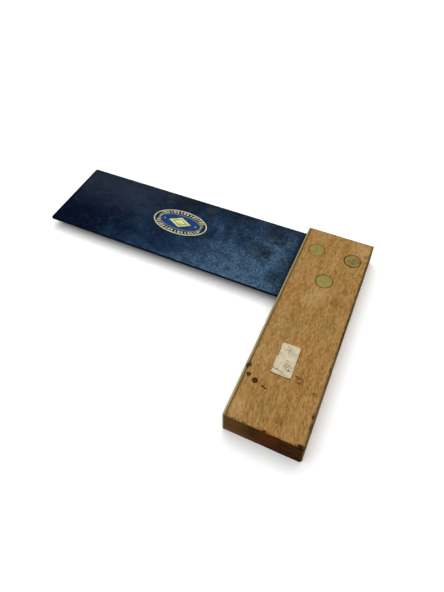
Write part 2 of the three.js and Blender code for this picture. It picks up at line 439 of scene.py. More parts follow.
def make_beech():
    """Worn beech: dense short flecks, growth streaks, end grain, stains and darkened arrises; the end faces
    and the back arris are partly painted shade, and a painted shadow of the sticker lies beside it.
    """
    look = settings("beech")
    paint = Paint("worn_beech")
    rise, mix = paint.rise, paint.mix
    here = paint.place(CORNER)
    x, y, z = paint.axes(here)
    top = STOCK_HIGH.z / MM
    near_end = (STOCK_LOW.y - CORNER.y) / MM
    back = (STOCK_HIGH.x - CORNER.x) / MM

    streaks = paint.noise(here, (3.4, 46.0, 3.4), 3.0, 0.6)
    broad = paint.noise(here, (15.0, 32.0, 15.0), 2.0)
    wood = mix(rise(streaks, 0.40, 0.64), look.middle, look.warm)
    wood = mix(rise(broad, 0.48, 0.72) * 0.45, wood, look.light)

    warm = patches(x, y, WARM_PATCHES, 1.8)
    pale = patches(x, y, PALE_PATCHES, 1.3)
    dull = patches(x, y, GREY_PATCHES, 1.5)
    wood = mix(warm * 0.45, wood, look.warm)
    wood = mix(pale * 0.6, wood, look.light)
    wood = mix(dull * 0.35, wood, look.grey)

    # The grain wanders: it leans one way at the far end and the other way at the near end.
    from_middle = y + GRAIN_MIDDLE
    grain_x = x - from_middle * from_middle * GRAIN_BEND
    grain = paint.node("ShaderNodeCombineXYZ", values={"X": grain_x, "Y": y, "Z": z})
    lens, lens_own = paint.cells(grain, (1.2, 3.4, 1.2))
    flecks = rise(lens, 0.10, 0.34, 1.0, 0.0) * rise(lens_own, 0.15, 0.65)
    fibres = paint.noise(grain, (0.62, 3.2, 0.62), 2.0, 0.5)
    dark_fibres = rise(fibres, 0.50, 0.60)
    pale_fibres = rise(fibres, 0.48, 0.38)
    wood = mix(pale_fibres * 0.42, wood, look.light)
    wood = mix(dark_fibres * 0.32, wood, look.fleck)
    wood = mix(flecks * (0.85 - pale * 0.3), wood, look.fleck)

    wobble = paint.noise(here, 1.6, 3.0, 0.6) - 0.5
    bent_x = x + wobble * 1.5
    bent_y = y + (fibres - 0.5) * 1.6
    on_top = rise(z, top - 1.6, top - 1.0)
    ink = [spot(bent_x, bent_y, middle, size, size * 0.6, along) for middle, size, along in INK_SPOTS]
    broken = rise(wobble, -0.16, 0.02)
    ink += [ring(bent_x, bent_y, middle, size, width) * (broken * (1 - depth) + depth)
            for middle, size, width, depth in RINGS]
    ink = strongest(ink) * on_top
    brown = strongest([spot(bent_x, bent_y, middle, size, size * 0.8, along)
                       for middle, size, along in BROWN_SPOTS])
    brown_rings = strongest([ring(bent_x, bent_y, middle, size, width)
                             for middle, size, width in BROWN_RINGS])
    brown = brown * (dark_fibres * 0.5 + 0.5)
    brown = brown.most(brown_rings * (broken * 0.7 + 0.3)) * on_top
    wood = mix(brown * 0.75, wood, look.fleck)
    wood = mix(ink * 0.95, wood, look.stain)

    seats = strongest([
        ring(x + 0.15, y + 0.35, from_corner("rivet_disc_top_" + name),
             radius_of("rivet_disc_top_" + name), 0.75) * depth
        for name, depth in (("inner", 0.40), ("outer", 0.85), ("lower", 0.65))])
    wood = mix(seats, wood, look.stain)

    chewed = paint.noise(here, 1.9, 3.0, 0.65) - 0.5
    # The back's top and bottom arrises are darkened: partly handling grime, partly painted shade on the back
    # face.
    at_back = rise(x + chewed * 2.2, back - 1.7, back - 0.5)
    at_top = rise(z + chewed * 3.0, top - 3.4, top - 1.2)
    at_foot = rise(z + chewed * 3.0, 2.4, 0.4)
    wood = mix(at_back * at_top.most(at_foot * 0.7) * 0.85, wood, look.stain)
    wood = mix(at_back * rise(broad, 0.35, 0.65) * 0.45, wood, look.grey)
    joint_dirt = rise(x + chewed * 0.8, 3.1, 1.9)
    wood = mix(joint_dirt * 0.5, wood, look.fleck)

    # A painted shadow of the lifted sticker: a dark line beyond its near and right edges.
    from_sticker_x = x - STICKER_MIDDLE.x
    from_sticker_y = y - STICKER_MIDDLE.y
    sticker_shadow_x = rise(from_sticker_x, 6.8, 6.2) * rise(from_sticker_x, -6.2, -5.6)
    sticker_shadow_y = rise(from_sticker_y, -11.9, -11.3) * rise(from_sticker_y, 10.0, 6.0)
    wood = mix(sticker_shadow_x * sticker_shadow_y * on_top * 0.6, wood, look.stain)

    pores = paint.noise(here, 0.32, 3.0, 0.7)
    layers = paint.noise(here, (11.0, 2.0, 1.6), 3.0, 0.6, 0.4)
    chips = rise(chewed, 0.03, 0.10) * rise(y, near_end + 2.6, near_end + 0.7)
    wood = mix(chips * 0.8, wood, look.stain)
    # The end faces are painted with the end grain colour, which is partly painted shade.
    near_face = rise(y + chewed * 1.8, near_end + 1.0, near_end + 0.35)
    far_face = rise(y + chewed * 1.4, -0.9, -0.3)
    end_tone = mix(rise(layers, 0.40, 0.62) * 0.8, look.end_grain_and_shade, look.stain)
    rubbed = rise(z + chewed * 3.0, 8.0, 1.0) * rise(x, 30.0, 4.0)
    end_tone = mix(rubbed * 0.35, end_tone, look.warm)
    end_tone = mix(rise(x + chewed * 14.0, 26.0, 0.0) * 0.30, end_tone, look.grey)
    end_tone = mix(rise(pores, 0.52, 0.66) * 0.5, end_tone, look.stain)
    end_tone = mix(rise(x + chewed * 10.0, 12.0, 46.0) * 0.35, end_tone, look.stain)
    wood = mix(near_face.most(far_face), wood, end_tone)

    height = pores * 0.35 + fibres * 0.7 - flecks * 0.5 - ink * 1.6
    rough = 0.66 - rise(streaks, 0.3, 0.7) * 0.10 + ink * 0.15 + flecks * 0.08
    return paint.finish(
        Base_Color=wood, Roughness=rough, Normal=paint.bump(height, 0.07 * MM, 0.9), Specular_IOR_Level=0.01)


def make_steel():
    """Blued steel: deep blue at the tip, paler and mottled towards the stock, partly as a painted reflection
    gradient, with scratches and rust.
    """
    look = settings("steel")
    paint = Paint("blued_steel")
    rise, mix = paint.rise, paint.mix
    here = paint.place(CORNER)
    x, y, _ = paint.axes(here)
    tip = (BLADE_LOW.x - CORNER.x) / MM
    near_edge = (BLADE_LOW.y - CORNER.y) / MM

    cloud = paint.noise(here, 30.0, 3.0, 0.55, 0.6)
    patch = paint.noise(here, 7.0, 4.0, 0.65, 0.5)
    mottle = paint.noise(here, 1.9, 4.0, 0.75, 0.3)
    speck = paint.noise(here, 0.95, 2.0, 0.6)

    # The tone rises from the tip towards the stock and the near edge: partly rubbed bluing, partly a painted
    # reflection gradient.
    rubbed = rise(x - y * 0.75 + (cloud - 0.5) * 70.0, -128.0, 22.0)
    blotchy = (patch - 0.5) * 1.4 + (mottle - 0.5) * 1.9 + (speck - 0.5) * 1.6
    tone = rubbed * 0.95 + (cloud - 0.5) * 0.5 + blotchy * (rubbed * 0.85 + 0.12)
    steel = mix(rise(tone, 0.0, 0.50), look.deep, look.middle)
    steel = mix(rise(tone, 0.45, 1.25), steel, look.pale)
    # Painted sheen: the far half of the tip is mixed lighter and greyer.
    sheen = rise(y + (cloud - 0.5) * 30.0, -46.0, -8.0) * rise(x, -80.0, -150.0)
    steel = mix(sheen * 0.75, steel, look.tip_sheen)

    far_band = rise(y + (patch - 0.5) * 14.0, -15.0, -1.0)
    olive = patches(x + (patch - 0.5) * 12.0, y + (mottle - 0.5) * 8.0, OLIVE_SPOTS)
    ragged = rise(mottle + (speck - 0.5) * 0.6, 0.40, 0.60)
    steel = mix((olive * 0.7).most(far_band * 0.75) * (ragged * 0.7 + 0.3), steel, look.grey)
    smudges = paint.noise(here, 9.0, 4.0, 0.65, 0.8)
    smudged = rise(smudges, 0.46, 0.60) * rise(y + (cloud - 0.5) * 30.0, -58.0, -24.0)
    steel = mix(smudged * rubbed * 0.55, steel, look.deep)

    pits = rise(speck, 0.54, 0.66) * rise(patch, 0.64, 0.42) * (rubbed * 0.85 + 0.1)
    steel = mix(pits * 0.9, steel, look.deep)
    blots = rise(mottle, 0.55, 0.66) * rise(patch, 0.50, 0.60) * rubbed
    steel = mix(blots * 0.65, steel, look.deep)
    grit = paint.noise(here, 1.05, 1.0)
    pepper = rise(grit, 0.46, 0.37) * rise(patch + (mottle - 0.5) * 0.8, 0.46, 0.60)
    steel = mix(pepper * rubbed * 0.9, steel, look.edge)
    soot = rise(grit + (mottle - 0.5) * 0.6, 0.53, 0.47) * olive.most(smudged * 0.6)
    steel = mix(soot * 0.75, steel, look.edge)
    sparks = rise(grit, 0.71, 0.78)
    steel = mix(sparks * 0.5, steel, look.pale)

    tucked = rise(x + (patch - 0.5) * 12.0 + (speck - 0.5) * 14.0, -6.5, -1.5)
    steel = mix(tucked * 0.85, steel, look.deep)
    fringe = rise(x + (patch - 0.5) * 14.0, -17.0, -4.0)
    crumbs = rise(mottle + (grit - 0.5) * 0.5, 0.49, 0.55)
    steel = mix(fringe * crumbs * 0.85, steel, look.edge)

    lines = [abs(paint.noise(here, (60.0, width, 4.0), 2.0, 0.5, turn=turn) - 0.5)
             for turn, width in ((0.30, 2.2), (-0.55, 2.6), (1.2, 1.8))]
    scratches = strongest([rise(line, 0.0012, 0.006, 1.0, 0.0) for line in lines])
    scratches = scratches * rise(patch, 0.44, 0.60)
    steel = mix(scratches * 0.35, steel, look.pale)

    bent_x = x + (mottle - 0.5) * 5.0
    bent_y = y + (speck - 0.5) * 4.0
    rust = patches(bent_x, bent_y, RUST_SPOTS)
    core = spot(bent_x, bent_y, RUST_SPOTS[0][0], 0.7, 0.5)
    steel = mix(rust * 0.8, steel, look.edge)
    steel = mix((rust * rise(speck, 0.42, 0.60) * 0.22).most(core * 0.55), steel, look.rust)

    # Both rims are painted near-black: partly black oxide, partly painted shade on the edge faces.
    rim = rise(y, near_edge + 0.45, near_edge + 0.15).most(rise(y, -0.55, -0.20))
    steel = mix(rim * 0.95, steel, look.edge)
    # The tip's far corner and its end edge are painted lighter: worn bare steel, partly a painted glint and
    # edge highlight.
    worn = spot(x, y, (tip + 0.6, -0.4), 0.8, 0.6).most(rise(x, tip + 0.35, tip + 0.1) * 0.18)
    steel = mix(worn * 0.6, steel, look.bare)

    rough = 0.42 + (patch - 0.5) * 0.2 + pits * 0.2 + rust * 0.3 + rim * 0.25
    height = mottle * 0.4 + speck * 0.3 - scratches * 0.6 - pits * 0.5 - pepper * 0.5 + rust * 0.8
    return paint.finish(
        Base_Color=steel, Metallic=1.0 - rust * 0.6, Roughness=rough, Specular_Tint=(0.68, 0.74, 0.85, 1.0),
        Normal=paint.bump(height, 0.02 * MM, 0.7))


def make_brass(name, tarnish, stroke=0.6):
    """Dull brass with file strokes in one direction. Tarnish goes from 0, handled, to 1, brown."""
    look = settings("brass")
    paint = Paint(name)
    here = paint.place(CORNER)
    cloud = paint.noise(here, 3.5, 3.0, 0.6)
    specks = paint.noise(here, 0.75, 3.0, 0.65)
    strokes = paint.noise(here, (0.22, 3.2, 0.8), 2.0, 0.6, turn=stroke)
    brown = paint.rise(cloud, 0.62 - tarnish * 0.3, 0.95 - tarnish * 0.3)
    spots = paint.rise(specks, 0.62 - tarnish * 0.08, 0.70 - tarnish * 0.08)
    metal = paint.mix(brown * 0.6 + tarnish * 0.12, look.bright, look.tarnish)
    metal = paint.mix(spots * 0.85, metal, look.tarnish)
    metal = paint.mix(paint.rise(strokes, 0.46, 0.62) * 0.48, metal, look.tarnish)
    rough = 0.46 + (strokes - 0.5) * 0.2 + brown * 0.12 + spots * 0.15
    height = strokes * 0.6 - spots * 0.8
    return paint.finish(
        Base_Color=metal, Metallic=0.85 - spots * 0.5, Roughness=rough,
        Normal=paint.bump(height, 0.02 * MM, 0.8))


def make_strip_brass():
    """The face strip's brass: rubbed along its top arris, scratched on its face and brown on its ends, where
    the end grain colour is partly painted shade.
    """
    look = settings("brass")
    paint = Paint("strip_brass")
    rise, mix = paint.rise, paint.mix
    here = paint.place(CORNER)
    x, y, z = paint.axes(here)
    top = STRIP_HIGH.z / MM
    near_end = (STRIP_LOW.y - CORNER.y) / MM
    cloud = paint.noise(here, 9.0, 4.0, 0.6)
    specks = paint.noise(here, 0.9, 3.0, 0.65)
    scratches = paint.noise(here, (1.0, 14.0, 0.5), 3.0, 0.65)
    metal = mix(rise(cloud, 0.40, 0.72) * 0.45, look.bright, look.tarnish)
    metal = mix(rise(scratches, 0.46, 0.64) * 0.40, metal, look.strip_edge)
    rubbed = rise(z + (cloud - 0.5) * 0.5, top - 0.5, top - 0.1)
    metal = mix(rubbed * 0.8, metal, look.strip_edge)
    # The strip's end faces take the end grain colour, partly as painted shade.
    ends = rise(y, near_end + 0.7, near_end + 0.2).most(rise(y, -0.7, -0.2))
    metal = mix(ends * 0.9, metal, settings("beech").end_grain_and_shade)
    inner = rise(x + (specks - 0.5) * 0.6, 0.85, 1.25)
    metal = mix(inner * 0.75, metal, look.tarnish)
    metal = mix(rise(specks, 0.62, 0.72) * 0.5, metal, look.tarnish)
    blot = spot(x, y + (specks - 0.5) * 2.0, (1.6, -125.2), 1.5, 0.9, 1.3)
    blot = blot * rise(z, top - 3.0, top - 1.0)
    metal = mix(blot * 0.9, metal, settings("beech").stain)
    rough = 0.44 + (scratches - 0.5) * 0.25 + ends * 0.2
    return paint.finish(
        Base_Color=metal, Metallic=0.85 - ends * 0.75, Roughness=rough,
        Normal=paint.bump(scratches - specks * 0.4, 0.02 * MM, 0.8))


def make_transfer_print():
    """A generic oval transfer: cream border, a band of beads on navy, and a gilt lozenge on royal blue."""
    look = settings("print")
    steel = settings("steel")
    paint = Paint("transfer_print")
    rise, mix = paint.rise, paint.mix
    half_long = (TRANSFER_HIGH.x - TRANSFER_LOW.x) / 2 / MM
    half_wide = (TRANSFER_HIGH.y - TRANSFER_LOW.y) / 2 / MM
    here = paint.place((TRANSFER_LOW + TRANSFER_HIGH) / 2)
    x, y, _ = paint.axes(here)

    def oval(inset):
        """1 on an oval drawn inside the edge by an inset in millimetres, less inside it."""
        u = x / (half_long - inset)
        v = y / (half_wide - inset)
        return (u * u + v * v) ** 0.5

    band = 4.9
    inner = oval(band)
    border = rise(oval(0.95), 0.985, 1.015) * rise(oval(0.12), 0.99, 1.005, 1.0, 0.0)
    line = rise(abs(inner - 1.0), 0.015, 0.040, 1.0, 0.0)
    turns = (y / half_wide).angle_to(x / half_long)
    bead = rise((turns * 40.0).sine() + (turns * 13.0).sine() * 0.55, -0.25, 0.25)
    row = rise(abs(oval(band * 0.54) - 1.0), 0.085, 0.115, 1.0, 0.0)
    gaps = rise(abs(x), half_long * 0.80, half_long * 0.84, 1.0, 0.0)
    beads = bead * row * gaps

    shade = paint.noise(here, 3.0, 3.0, 0.6)
    royal = mix(rise(shade, 0.40, 0.66) * 0.6, look.royal, look.navy)
    ink = mix(rise(inner, 0.985, 1.015), royal, look.navy)
    ink = mix(border.most(line * 0.45).most(beads * 0.75), ink, look.cream)
    lozenge = abs(x + y * 0.12) / 9.4 + abs(y) / 5.0
    gilt = rise(lozenge, 0.96, 1.04, 1.0, 0.0)
    inlay = rise(abs(lozenge - 0.60), 0.05, 0.10, 1.0, 0.0)
    dots = spot(abs(x), y, (13.2, 0.0), 0.6, 0.3) * 0.6
    ink = mix((gilt - gilt * inlay * 0.8).most(dots), ink, look.gilt)

    wear = paint.noise(here, 1.3, 4.0, 0.7)
    chips = rise(wear, 0.62, 0.68)
    ink = mix(chips * 0.8, ink, steel.middle)
    grime = paint.noise(here, 5.0, 3.0, 0.6)
    ink = mix(rise(grime, 0.42, 0.72) * 0.35, ink, steel.deep)
    height = gilt * 0.4 + border * 0.4 + beads * 0.4 - chips
    return paint.finish(
        Base_Color=ink, Roughness=0.42 + chips * 0.2, Normal=paint.bump(height, 0.02 * MM, 0.6),
        Specular_IOR_Level=0.05)


def make_paper():
    """Grubby sticker paper with specks, rubbed fibres, a crease and brown edges."""
    look = settings("print")
    paint = Paint("grubby_paper")
    rise, mix = paint.rise, paint.mix
    here = paint.spread(paint.place((STICKER_LOW + STICKER_HIGH) / 2), (1.0, 1.0, 1.0), STICKER_TURN)
    x, y, _ = paint.axes(here)
    clouds = paint.noise(here, 5.0, 4.0, 0.6)
    fibres = paint.noise(here, 0.5, 4.0, 0.7)
    specks = paint.noise(here, 0.95, 2.0, 0.6)
    paper = mix(rise(clouds, 0.42, 0.70) * 0.6, look.paper, look.stained_paper)
    paper = mix(rise(fibres, 0.48, 0.66) * 0.36, paper, look.dirt)
    paper = mix(rise(specks, 0.58, 0.66) * 0.75, paper, look.dirt)

    edge = (abs(x) / (STICKER_WIDTH / 2 / MM)).most(abs(y) / (STICKER_TALL / 2 / MM) * 1.02)
    paper = mix(rise(edge + (fibres - 0.5) * 0.2, 0.86, 1.0) * 0.55, paper, look.stained_paper)

    fold = abs(y + x * 0.30 + 9.3 + (clouds - 0.5) * 2.4)
    crease = rise(fold, 0.12, 0.50, 1.0, 0.0) * rise(x, 3.0, -2.0)
    wavy = paint.noise(here, 2.1, 1.0, 0.5)
    scribble = rise(abs(wavy - 0.5), 0.035, 0.075, 1.0, 0.0)
    lower_note = spot(x, y, (1.6, -5.8), 3.0, 1.2)
    upper_note = spot(x, y, (0.2, 6.6), 3.2, 1.6, 0.8)
    written = lower_note.most(upper_note * 0.45) * rise(clouds, 0.40, 0.52)
    paper = mix(scribble * written * 0.9, paper, look.ink)
    paper = mix(crease * 0.8, paper, look.dirt)
    height = fibres + clouds * 0.6 - crease * 1.5
    return paint.finish(Base_Color=paper, Roughness=0.85, Normal=paint.bump(height, 0.06 * MM, 0.9),
                        Specular_IOR_Level=0.2)


def make_floor():
    look = settings("stage")
    paint = Paint("pale_floor")
    here = paint.place(Vector((0, 0, 0)))
    cloud = paint.noise(here, 250.0, 2.0)
    tone = paint.mix(cloud * 0.2, look.floor, tint(244, 244, 244))
    return paint.finish(Base_Color=tone, Roughness=0.9, Specular_IOR_Level=0.1)


# ---------------------------------------------------------------- mesh helpers

def turn(shape, angle, axis):
    """Turns the whole shape about an axis through the origin."""
    bmesh.ops.rotate(shape, cent=(0, 0, 0), matrix=Matrix.Rotation(angle, 3, axis), verts=shape.verts)


def move(shape, by):
    bmesh.ops.translate(shape, vec=by, verts=shape.verts)


def thicken(shape, by):
    """Pulls a sheet up into a closed plate."""
    grown = bmesh.ops.extrude_face_region(shape, geom=shape.faces[:])
    raised = [item for item in grown["geom"] if isinstance(item, bmesh.types.BMVert)]
    bmesh.ops.translate(shape, vec=(0, 0, by), verts=raised)
    bmesh.ops.recalc_face_normals(shape, faces=shape.faces)


def block(low, high):
    """A box between two corners."""
    shape = bmesh.new()
    bmesh.ops.create_cube(shape, size=1.0)
    bmesh.ops.scale(shape, vec=high - low, verts=shape.verts)
    move(shape, (low + high) / 2)
    return shape


def slice_evenly(shape, low, high, pitch):
    """Cuts the whole shape into strips of about one pitch along each axis."""
    for index, normal in enumerate(AXIS.values()):
        span = high[index] - low[index]
        count = max(1, round(span / pitch[index]))
        for step in range(1, count):
            point = low.copy()
            point[index] += span * step / count
            everything = shape.verts[:] + shape.edges[:] + shape.faces[:]
            bmesh.ops.bisect_plane(shape, geom=everything, plane_co=point, plane_no=normal, dist=1e-7)


def round_edges(shape, edges, radius, segments=3):
    bmesh.ops.bevel(shape, geom=edges, offset=radius, offset_type="OFFSET", segments=segments,
                    profile=0.5, affect="EDGES", clamp_overlap=True, material=-1)


def edges_where(shape, test):
    return [edge for edge in shape.edges if test((edge.verts[0].co + edge.verts[1].co) / 2)]


def to_object(shape, name):
    mesh = bpy.data.meshes.new(name)
    shape.to_mesh(mesh)
    shape.free()
    made = bpy.data.objects.new(name, mesh)
    bpy.context.scene.collection.objects.link(made)
    return made


def check_closed(piece):
    """Stops the operator if a cut has left a piece open or empty."""
    shape = bmesh.new()
    shape.from_mesh(piece.data)
    open_edges = sum(not edge.is_manifold for edge in shape.edges)
    volume = shape.calc_volume()
    shape.free()
    if open_edges or volume <= 0:
        raise RuntimeError(f"{piece.name} isn't closed: {open_edges} open edges, volume {volume:.3g}")


def carve(piece, cutters):
    """Cuts each cutter out of the piece and applies the result to its mesh."""
    for cutter in cutters:
        cut = piece.modifiers.new("cut", "BOOLEAN")
        cut.operation = "DIFFERENCE"
        cut.solver = "MANIFOLD"
        cut.object = cutter
    bpy.context.view_layer.update()
    graph = bpy.context.evaluated_depsgraph_get()
    mesh = bpy.data.meshes.new_from_object(piece.evaluated_get(graph))
    piece.modifiers.clear()
    old = piece.data
    piece.data = mesh
    check_closed(piece)
    bpy.data.meshes.remove(old)
    for cutter in cutters:
        bpy.data.meshes.remove(cutter.data)
    return piece


def settle(piece, material, slot, *nodes, sharp=math.radians(32)):
    """Gives a piece its material, smooth shading and body, and lets it stand for its CAD nodes. The slot is
    not used.
    """
    piece.data.materials.clear()
    piece.data.materials.append(material)
    piece.data.shade_smooth()
    piece.data.set_sharp_from_angle(angle=sharp)
    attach(piece, BODY)
    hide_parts(*nodes)
    return piece


def turned(profile, steps):
    """Spins a profile of radius and height pairs round Z into a closed shape."""
    shape = bmesh.new()
    points = [shape.verts.new((radius, 0, height)) for radius, height in profile]
    edges = [shape.edges.new(pair) for pair in zip(points, points[1:])]
    bmesh.ops.spin(shape, geom=points + edges, cent=(0, 0, 0), axis=(0, 0, 1), angle=math.tau, steps=steps,
                   use_merge=True, use_duplicate=False)
    bmesh.ops.remove_doubles(shape, verts=shape.verts, dist=1e-7)
    bmesh.ops.recalc_face_normals(shape, faces=shape.faces)
    return shape


def cone_cutter(name, start, end, deep, place, lying=False):
    """A cone or bar to cut with, given by its radii at both ends. It stands along Z, or lies along X."""
    shape = bmesh.new()
    bmesh.ops.create_cone(shape, cap_ends=True, segments=48, radius1=start, radius2=end, depth=deep)
    if lying:
        turn(shape, math.pi / 2, "Y")
    move(shape, place)
    return to_object(shape, name)


def upright_cutter(name, node, gap, bottom=None, top=None):
    """A bar that cuts a hole for an upright round CAD node, over its own height or between two others."""
    low, high, middle = measure(node)
    start = low.z if bottom is None else bottom
    end = high.z if top is None else top
    radius = (high.x - low.x) / 2 + gap
    return cone_cutter(name, radius, radius, end - start, Vector((middle.x, middle.y, (start + end) / 2)))


def kerf_cutter():
    low = Vector((STRIP_LOW.x - CUT_OVER, BLADE_LOW.y - JOINT_GAP, BLADE_LOW.z - JOINT_GAP))
    high = Vector((BLADE_HIGH.x + JOINT_GAP, BLADE_HIGH.y + CUT_OVER, BLADE_HIGH.z + JOINT_GAP))
    return to_object(block(low, high), "kerf")


def face_pin_cutters(grow):
    """A countersunk hole for each face pin: a plain bar for its shank and a cone for its head."""
    made = []
    reach = 2 * MM
    shank = PIN_SHANK + grow
    for name in FACE_PINS:
        low, high, middle = measure("face_pin_" + name)
        start, end = low.x - reach, high.x + grow
        head = (high.z - low.z) / 2 + grow
        middle.x = (start + end) / 2
        made.append(cone_cutter("pin_hole_" + name, shank, shank, end - start, middle, True))
        middle.x = low.x + (PIN_HEAD_DEPTH - reach) / 2
        deep = reach + PIN_HEAD_DEPTH
        made.append(cone_cutter("pin_sink_" + name, head + reach, shank, deep, middle, True))
    return made


def wear_arrises(shape, low, high, depth, pitch):
    """Rubs and dents the corners: a vertex near two outer faces moves inwards by a slow noise."""
    middle = (low + high) / 2
    reach = pitch * 1.6
    for vertex in shape.verts:
        place = vertex.co
        gaps = sorted(min(place[i] - low[i], high[i] - place[i]) for i in range(3))
        if gaps[1] > reach:
            continue
        grain = noise.noise(place / pitch * 0.22) * 0.6 + noise.noise(place / pitch * 0.8) * 0.4
        nick = max(0.0, noise.noise(place / pitch * 0.33 + Vector((7.1, 3.3, 1.9))) - 0.42) * 5.0
        inward = middle - place
        inward.y = math.copysign(min(abs(inward.y), 0.02), inward.y) if gaps[0] < pitch * 2 else 0.0
        fade = 1.0 - gaps[1] / reach
        vertex.co = place + inward.normalized() * depth * fade * (0.5 + grain * 0.5 + nick)


# ---------------------------------------------------------------- pieces

class TRYSQUARE_OT_stock(bpy.types.Operator):
    """Beech stock with its kerf, disc seats, pin holes and worn arrises"""
    bl_idname = "try_square.stock"
    bl_label = "Stock"

    def execute(self, context):
        look = settings("beech")
        low, high = STOCK_LOW, STOCK_HIGH
        shape = block(low, high)
        pitch = 1.5 * MM
        corner = edges_where(shape, lambda p: p.x > high.x - TOUCH and p.y < low.y + TOUCH
                             and low.z + TOUCH < p.z < high.z - TOUCH)
        round_edges(shape, corner, look.corner, 5)
        outer = edges_where(shape, lambda p: p.x > low.x + TOUCH)
        round_edges(shape, outer, look.arris, 4)
        slice_evenly(shape, low, high, Vector((pitch, pitch, pitch)))
        # The inner face lies against the strip, so it is taken as far off and isn't worn.
        wear_arrises(shape, Vector((low.x - 10 * MM, low.y, low.z)), high, look.wear, pitch)
        piece = to_object(shape, "beech_stock")

        under, over = low.z - CUT_OVER, high.z + CUT_OVER
        cutters = [kerf_cutter()]
        for name in RIVETS:
            top, bottom, pin = "rivet_disc_top_" + name, "rivet_disc_bottom_" + name, "rivet_pin_" + name
            top_seat, bottom_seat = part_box(top)[0].z - JOINT_GAP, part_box(bottom)[1].z + JOINT_GAP
            cutters.append(upright_cutter("seat_top_" + name, top, SEAT_GAP, top_seat, over))
            cutters.append(upright_cutter("seat_bottom_" + name, bottom, SEAT_GAP, under, bottom_seat))
            cutters.append(upright_cutter("pin_way_" + name, pin, JOINT_GAP, under, over))
        cutters += face_pin_cutters(0.1 * MM)
        carve(piece, cutters)
        settle(piece, make_beech(), "beech", "stock")
        return {"FINISHED"}


class TRYSQUARE_OT_face_strip(bpy.types.Operator):
    """Brass strip on the working face, slit for the blade"""
    bl_idname = "try_square.face_strip"
    bl_label = "Face Strip"

    def execute(self, context):
        look = settings("brass")
        low, high = STRIP_LOW, STRIP_HIGH
        shape = block(low, high)
        for end, radius in ((high.y, look.far_corner), (low.y, look.near_corner)):
            corner = edges_where(shape, lambda p: p.x < low.x + TOUCH and abs(p.y - end) < TOUCH
                                 and low.z < p.z < high.z - TOUCH)
            round_edges(shape, corner, radius, 4)
        outer = edges_where(shape, lambda p: p.x < high.x - TOUCH)
        round_edges(shape, outer, look.arris, 3)
        slice_evenly(shape, low, high, Vector((1.0, 2.5, 1.7)) * MM)
        for vertex in shape.verts:
            if vertex.co.x < low.x + 0.4 * MM:
                vertex.co.x += noise.noise(vertex.co * 90) * 0.03 * MM
        piece = to_object(shape, "brass_face_strip")
        carve(piece, [kerf_cutter(), *face_pin_cutters(0.02 * MM)])
        settle(piece, make_strip_brass(), "brass", "face_strip")
        return {"FINISHED"}


class TRYSQUARE_OT_blade(bpy.types.Operator):
    """Blued steel blade with its hidden end and pin holes"""
    bl_idname = "try_square.blade"
    bl_label = "Blade"

    def execute(self, context):
        look = settings("steel")
        shape = block(BLADE_LOW, BLADE_HIGH)
        middle = (BLADE_LOW + BLADE_HIGH) / 2
        corners = edges_where(shape, lambda p: abs(p.z - middle.z) < TOUCH)
        round_edges(shape, corners, look.corner, 4)
        rims = [edge for edge in shape.edges if abs(edge.verts[0].co.z - edge.verts[1].co.z) < TOUCH]
        round_edges(shape, rims, look.arris, 2)
        slice_evenly(shape, BLADE_LOW, BLADE_HIGH, Vector((2.0, 2.0, 1.0)) * MM)
        for vertex in shape.verts:
            place = vertex.co
            rim = min(place.y - BLADE_LOW.y, BLADE_HIGH.y - place.y)
            if rim < 0.5 * MM:
                inward = 1 if place.y < middle.y else -1
                nick = max(0.0, noise.noise(place * 240) - 0.25) * 0.16 * MM
                vertex.co.y += inward * nick
        piece = to_object(shape, "blued_blade")
        carve(piece, [upright_cutter("hole_" + name, "rivet_pin_" + name, JOINT_GAP) for name in RIVETS])
        settle(piece, make_steel(), "blued_steel", "blade")
        return {"FINISHED"}


class TRYSQUARE_OT_rivets(bpy.types.Operator):
    """Brass discs on both faces of the stock, and the pins between them"""
    bl_idname = "try_square.rivets"
    bl_label = "Rivets"

    def execute(self, context):
        look = settings("brass")
        tarnish = {"inner": 0.2, "outer": 0.75, "lower": 0.15}
        for name in RIVETS:
            brass = make_brass("disc_brass_" + name, tarnish[name])
            for side in ("top", "bottom"):
                self.disc(name, side, brass, look.dome, look.disc_edge)
            pin = frame["nodes"]["rivet_pin_" + name].data.materials
            pin.clear()
            pin.append(brass)
        return {"FINISHED"}

    def disc(self, name, side, brass, dome, edge):
        """One disc with a shallow dome, a rounded rim and a blind socket for the pin's end."""
        node = f"rivet_disc_{side}_{name}"
        low, high, middle = measure(node)
        radius = (high.x - low.x) / 2
        thick = high.z - low.z
        roof = thick - SOCKET_ROOF
        rim_steps, dome_steps = 4, 10
        profile = [(0.0, roof), (SOCKET_RADIUS, roof), (SOCKET_RADIUS, 0.0), (radius, 0.0)]
        for step in range(rim_steps + 1):
            angle = math.pi / 2 * step / rim_steps
            inward, down = edge * (1 - math.cos(angle)), edge * (1 - math.sin(angle))
            profile.append((radius - inward, thick - dome - down))
        for step in range(1, dome_steps + 1):
            share = 1 - step / dome_steps
            profile.append(((radius - edge) * share, thick - dome * share * share))
        shape = turned(profile, 72)
        for vertex in shape.verts:
            if vertex.co.z > thick - dome - edge:
                vertex.co.z += noise.noise(vertex.co * 420 + Vector((len(name), 0, 0))) * 0.012 * MM
        middle.z = low.z
        if side == "bottom":
            turn(shape, math.pi, "X")
            middle.z = high.z
        move(shape, middle)
        piece = to_object(shape, f"brass_disc_{side}_{name}")
        settle(piece, brass, "brass", node, sharp=math.radians(50))


